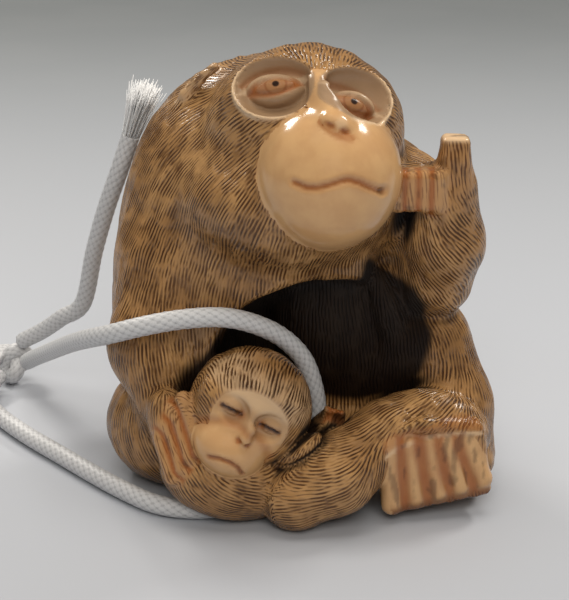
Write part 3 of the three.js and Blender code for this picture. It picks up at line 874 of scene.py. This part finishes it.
def young_work(p, work):
    """The young's sleeping face."""
    q = local(p, YOUNG_FACE)
    x, z = q[:, 0], q[:, 2]
    front = (np.abs(q[:, 1] + 1.5) < 3.2) * 1.0
    oval = np.hypot((x - 0.1) / (3.7 + 0.25 * np.clip(z, -3, 3)), (z - 0.1) / 4.6)
    face = fade(0.96, 1.06, oval) * front
    work.lay("skin", face)
    work.lay("skin", fade(0.1, 0.35, np.abs(YOUNG_MUZZLE.distance(p))) * front)
    # Painted shade on the upper face, darker and greyer towards the brow.
    work.lay("socket", face * 0.6 * smoothstep(0.2, 1.6, z))
    muzzle = np.hypot((x + 0.2) / 3.7, (z + 2.1) / 2.95)
    rim = fade(0.02, 0.22, np.abs(muzzle - 1.06)) * front * smoothstep(-2.6, -0.6, z)
    work.relief -= 0.15 * rim
    work.lay("orange", 0.5 * rim)
    for side in (-1, 1):
        off = x - side * 2.05
        d = np.hypot(np.maximum(np.abs(off) - 1.0, 0), z - 1.95 + 0.14 * off**2)
        work.relief -= face * SLIT_DEPTH * fade(0.06, 0.28, d)
        work.relief += face * 0.1 * fade(0.2, 0.8, d)
        work.lay("dark", face * fade(0.1, 0.28, d))
        corner = np.hypot(x - side * 1.1, z - 1.8)
        work.lay("orange", face * 0.9 * fade(0.15, 0.8, corner))
        work.lay("orange", face * 0.6 * fade(0.1, 0.45, d))
        hole = np.hypot(x - 0.3 - side * 0.5, z + 0.15)
        work.relief -= face * PIT_DEPTH * fade(0.1, 0.35, hole)
        work.lay("orange", face * fade(0.15, 0.5, hole))
    # The young's brow fringe: pale hair, with painted glints.
    fringe = smoothstep(2.6, 3.4, z) * fade(5.2, 7, z) * (q[:, 1] < 3)
    work.lay("pale", 0.55 * fringe * (np.abs(x) < 5.5))
    d = line_distance(q[:, [0, 2]], YOUNG_MOUTH)
    work.relief -= face * LINE_DEPTH * fade(0.05, 0.32, d)
    work.lay("orange", face * fade(0.1, 0.38, d))
    work.lay("dark", face * 0.35 * fade(0.05, 0.18, d))


# The digits of each hand and foot: how far from them the skin reaches, how bare it is, and how wide the
# stain between them is
DIGITS = (
    (TOES, 0.5, 0.95, 0.9), (RIGHT_FINGERS, 0.5, 0.84, 0.3), (CURLED_FINGERS, 0.5, 0.86, 0.35),
    (YOUNG_FINGERS, 0.3, 0.3, 0.7), ([UPRIGHT_FINGER], 0.5, 0.5, 0.5),
)
FINGER_TOP = (14.5, -6.7, 37.2)  # the middle of the upright finger, and where its flat end begins


def foot_work(p, work):
    """The ridge above the toes, worn and with a painted highlight along it, the stain over it, and the dark
    edge of the sole.
    """
    q = local(p, TOE_PLACE)
    front = (np.abs(q[:, 0]) < 5.1) * (q[:, 1] < -0.6) * (q[:, 1] > -3.4)
    bow = q[:, 2] + 0.03 * q[:, 0] ** 2
    # The pale line on the ridge: wear, and a painted highlight.
    ridge = np.abs(bow - 3.75)
    work.lay("pale", 0.75 * front * fade(0.1, 0.35, ridge))
    work.lay("skin", 0.9 * front * fade(0.1, 0.4, ridge))
    work.lay("orange", 0.45 * front * fade(0.3, 0.8, np.abs(bow - 4.6)))
    sole = front * fade(-3.4, -2.5, q[:, 2])
    work.lay("orange", 0.7 * sole)
    work.lay("dark", 0.45 * sole)


def hand_work(p, work, way):
    """Fingers and toes: pale on top, cracked, and stained between."""
    cracks = smoothstep(0.72, 0.95, streaks(p, way, 0.5, 2.4))
    for digits, reach, bare, wide in DIGITS:
        d = np.sort(np.stack([f.distance(p) for f in digits] + [np.full(len(p), 9.0)]), axis=0)
        on = fade(reach * 0.6, reach * 1.6, np.abs(d[0]))
        work.lay("skin", on * bare)
        uneven = 0.5 + value_noise(p * [1, 1, 0.4], 1.1)
        between = on * fade(0.3 * wide, wide * (0.4 + uneven), d[1] - d[0])
        work.relief -= 0.1 * between + 0.05 * on * cracks
        work.lay("orange", between)
        work.lay("dark", 0.45 * on * cracks)
    x, y, z = FINGER_TOP
    tip = smoothstep(z, z + 0.6, p[:, 2]) * (np.abs(p[:, 0] - x) + np.abs(p[:, 1] - y) < 3.5)
    work.lay("pale", 0.8 * tip)
    work.lay("skin", tip)
    ear = fade(0.05, 0.3, np.abs(EAR.distance(p)))
    work.lay("pale", 0.45 * ear)
    work.lay("skin", 0.3 * ear)


LOCK_WIDE, LOCK_LONG, LOCK_HIGH = 0.8, 4, 0.16


def carve():
    """The carving's mesh, with its relief in it and its stains, painted shade and painted highlights as
    attributes.
    """
    field = distances(carving_steps())
    vertices, quads = surface_nets(field)
    normal = facing(field, vertices)
    way = hair_direction(vertices, normal)
    work = Work(len(vertices))
    for part in (muzzle_work, eye_work, young_work, foot_work):
        part(vertices, work)
    hand_work(vertices, work, way)
    # Darkening of hollows and crevices, from how close the surface lies ahead of each point: painted shade,
    # with the stain that gathers there. The deep lap is painted shade all over.
    hollow_shade = np.zeros(len(vertices))
    for reach in (0.8, 1.6, 2.8):
        hollow_shade += np.clip(1 - sampled(field, vertices + normal * reach) / reach, 0, 1) / 3
    lap_shade = fade(-1.5, 0.8, SHADE.distance(vertices)) * smoothstep(-8.5, -5.5, vertices[:, 1])
    hollow_shade = np.maximum(hollow_shade, lap_shade) * smoothstep(0.5, 2.5, EAR.distance(vertices))
    lock = streaks(vertices, way, LOCK_WIDE, LOCK_LONG)
    under = smoothstep(0.2, 0.8, vertices[:, 2])
    bare = np.maximum(work.stain_and_painted_light["skin"], work.stain_and_painted_light["socket"])
    relief = work.relief + (1 - bare) * LOCK_HIGH * (lock - 0.5)
    vertices = vertices + normal * (relief * under)[:, None]
    vertices[:, 2] = np.maximum(vertices[:, 2], 0)
    layers = {"comb": way, "hollow_shade": hollow_shade, "lock": lock, **work.stain_and_painted_light}
    made = mesh_object("carving_relief", vertices, quads, layers)
    triangles = 2 * len(quads)
    if triangles > MOST_TRIANGLES:
        thin = made.modifiers.new("thin", "DECIMATE")
        thin.ratio = MOST_TRIANGLES / triangles
        bpy.context.view_layer.update()
        reduced = bpy.data.meshes.new_from_object(made.evaluated_get(bpy.context.evaluated_depsgraph_get()))
        made.modifiers.clear()
        made.data = reduced
    return made


STROKE_PITCH = 0.37 * MM  # from one carved hair to the next
STROKE_LENGTH = 1.5 * MM
STROKE_DEPTH = 0.13 * MM
GABOR_DIRECTION = 5  # the texture's input for a direction in space
# Base colours. Where there are two, a noise blends them.
TAN = (0.34, 0.175, 0.062, 1), (0.46, 0.255, 0.10, 1)  # worn hair tops
BROWN = (0.05, 0.018, 0.005, 1), (0.10, 0.04, 0.013, 1)  # stain between the hairs
CREAM = (0.56, 0.32, 0.145, 1), (0.62, 0.37, 0.17, 1)  # bare ivory
GRAINED = (0.13, 0.045, 0.012, 1), (0.43, 0.225, 0.09, 1)  # ivory on the hands, with stain in its scratches
# Painted shade in the mother's sockets and on the young's upper face.
SOCKET_SHADE = (0.30, 0.185, 0.10, 1), (0.37, 0.235, 0.135, 1)
RUST = (0.27, 0.06, 0.008, 1), (0.36, 0.12, 0.025, 1)
# Pale marks: wear on edges, and painted highlights.
WORN_AND_HIGHLIGHT = (0.72, 0.53, 0.34, 1)
IRIS, IRIS_EDGE, PUPIL = (0.3, 0.14, 0.05, 1), (0.2, 0.06, 0.015, 1), (0.02, 0.007, 0.003, 1)
SHADE_BLACK = (0.004, 0.0014, 0.0008, 1)
LINE = (0.03, 0.01, 0.004, 1)


def grey(value):
    return value, value, value, 1


def strokes(n, place, across):
    """Carved hairs, side by side and broken here and there: from 0 in a groove to 1 on a hair."""
    inputs = {"Vector": place, "Scale": 1 / STROKE_LENGTH, "Frequency": STROKE_LENGTH / STROKE_PITCH,
              "Anisotropy": 1.0, GABOR_DIRECTION: across}
    return n.add("ShaderNodeTexGabor", inputs, gabor_type="3D").outputs["Value"]


def pupil_place(s):
    """The middle of a pupil, on the eyeball's front."""
    x, y = s["eye"][0] + s["pupil"][0], s["eye"][1] + s["pupil"][1]
    top = s["eye"][2] + EYEBALL[2]
    return row(np.array(s["at"]) + turning(s["turn"]) @ np.array([x, y, top]))


def ivory():
    """Cream ivory, stained in the hair and the carved lines, with stain and painted shade in the hollows,
    painted shade in the sockets, and wear and painted highlights pale on the edges.
    """
    n = Nodes("ivory_stains_and_painted_light")

    def times(a, b):
        return n.math("MULTIPLY", a, b)

    skin, socket, eye, pale, orange, dark = (n.attribute(name) for name in STAINS_AND_PAINTED_LIGHT)
    hollow_shade, lock = n.attribute("hollow_shade"), n.attribute("lock")
    comb = n.attribute("comb", vector=True)
    place = n.add("ShaderNodeTexCoord").outputs["Object"]
    normal = n.add("ShaderNodeNewGeometry").outputs["Normal"]
    across = n.vector("CROSS_PRODUCT", comb, normal)
    broad = n.noise(160, 3, place)
    mottle = n.noise(450, 3, place)
    uneven = times(n.math("SUBTRACT", n.noise(700, 2, place), 0.5), 0.5)
    streak = n.ramp(n.math("ADD", strokes(n, place, across), uneven), 0.3, 0.58)
    tan = n.mix(n.ramp(broad, 0.35, 0.65), *TAN)
    brown = n.mix(n.ramp(broad, 0.3, 0.6), *BROWN)
    hair = n.mix(times(streak, n.ramp(lock, 0.1, 0.7, 0.72, 1.0)), brown, tan)
    cream = n.mix(n.ramp(mottle, 0.3, 0.7), *CREAM)
    grained = n.mix(n.ramp(streak, 0.0, 0.7), *GRAINED)
    colour = n.mix(skin, hair, n.mix(n.ramp(skin, 0.8, 0.95), grained, cream))
    # Painted shade in the sockets and on the young's upper face.
    colour = n.mix(socket, colour, n.mix(mottle, *SOCKET_SHADE))
    bare = n.math("MAXIMUM", skin, socket)
    # Pale marks: wear, and painted highlights on socket rims, the nose tip, the foot's ridge and the young's
    # fringe.
    shown = times(times(pale, 0.8), n.math("MAXIMUM", bare, times(streak, 0.8)))
    colour = n.mix(shown, colour, WORN_AND_HIGHLIGHT)
    colour = n.mix(times(orange, 0.85), colour, n.mix(mottle, *RUST))
    for s in SOCKETS:
        pupil = {0: place, 1: pupil_place(s)}
        away = n.add("ShaderNodeVectorMath", pupil, operation="DISTANCE").outputs["Value"]
        inside = times(n.ramp(away, 0.9 * MM, 1.1 * MM, 1, 0), eye)
        colour = n.mix(times(inside, 0.55), colour, IRIS)
        edge = times(times(n.ramp(away, 0.8 * MM, 1.0 * MM), n.ramp(away, 1.0 * MM, 1.2 * MM, 1, 0)), eye)
        colour = n.mix(times(edge, 0.6), colour, IRIS_EDGE)
        colour = n.mix(times(n.ramp(away, 0.24 * MM, 0.42 * MM, 1, 0), eye), colour, PUPIL)
    # Painted shade in the hollows, with their stain: near black where they are deep.
    stain_and_painted_light = times(n.ramp(hollow_shade, 0.25, 0.8), n.math("SUBTRACT", 1.0, times(bare, 0.9)))
    colour = n.mix(times(stain_and_painted_light, 0.97), colour, SHADE_BLACK)
    colour = n.mix(dark, colour, LINE)
    hairy = n.math("SUBTRACT", 1.0, bare, clamp=True)
    bumps = n.bump(streak, times(hairy, 0.9), STROKE_DEPTH)
    gloss = n.mix(hairy, grey(0.17), grey(0.27))
    gloss = n.mix(socket, gloss, grey(0.3))
    gloss = n.mix(stain_and_painted_light, gloss, grey(0.7))
    return n.surface(Base_Color=colour, Roughness=gloss, Normal=bumps)


finish(carve(), ivory(), "ivory", "carving")


# ---- Floor and light ----


def backdrop():
    """A floor that curves up into a wall behind the object."""
    depth, radius, height, half = 0.5, 0.1, 1.2, 1.6
    line = [(-0.7, 0)] + [(depth + radius * math.sin(a), radius * (1 - math.cos(a)))
                          for a in np.linspace(0, math.pi / 2, 17)] + [(depth + radius, height)]
    vertices = [(x, y, z) for y, z in line for x in (-half, half)]
    faces = [(2 * i, 2 * i + 1, 2 * i + 3, 2 * i + 2) for i in range(len(line) - 1)]
    made = mesh_object("floor", np.array(vertices) / MM + MIDDLE, faces)
    made.data.materials.append(paper())
    return made


def paper():
    """Pale, and greyer towards the back of the room."""
    n = Nodes("floor_paper")
    place = n.add("ShaderNodeTexCoord").outputs["Object"]
    depth = n.add("ShaderNodeSeparateXYZ", {0: place}).outputs["Y"]
    tone = n.mix(n.ramp(depth, 0.0, 0.3), (0.46, 0.48, 0.525, 1), (0.185, 0.197, 0.205, 1))
    tone = n.mix(n.ramp(n.noise(30), 0.4, 0.6, 0, 0.03), tone, (0.4, 0.4, 0.4, 1))
    return n.surface(Base_Color=tone, Roughness=0.6)


WARM = (1, 0.95, 0.87)
AIM = (0, 0, 0.022)  # the middle of the carving, which every light faces


def area_light(name, place, size, power, mirrored=True):
    """A soft light, which shiny surfaces may show or not."""
    light = bpy.data.lights.new(name, "AREA")
    light.shape, light.size, light.size_y = "RECTANGLE", size[0], size[1]
    light.energy, light.color = power, WARM
    made = bpy.data.objects.new(name, light)
    bpy.context.scene.collection.objects.link(made)
    made.location = place
    made.rotation_euler = (Vector(AIM) - Vector(place)).to_track_quat("-Z", "Y").to_euler()
    made.visible_glossy = mirrored
    return made


backdrop()
area_light("back_left", (-0.24, 0.33, 0.31), (0.14, 0.05), 0.9)
area_light("back_right", (0.28, 0.21, 0.385), (0.12, 0.06), 0.9)
area_light("front", (0.03, -0.5, 0.45), (0.4, 0.3), 1.9, mirrored=False)
area_light("top", (0, 0, 0.6), (0.5, 0.4), 2.3, mirrored=False)
world = bpy.data.worlds.new("studio")
world.use_nodes = True
world.node_tree.nodes["Background"].inputs["Color"].default_value = (0.9, 0.88, 0.84, 1)
world.node_tree.nodes["Background"].inputs["Strength"].default_value = 0.2
bpy.context.scene.world = world
bpy.context.scene.view_settings.view_transform = "Standard"
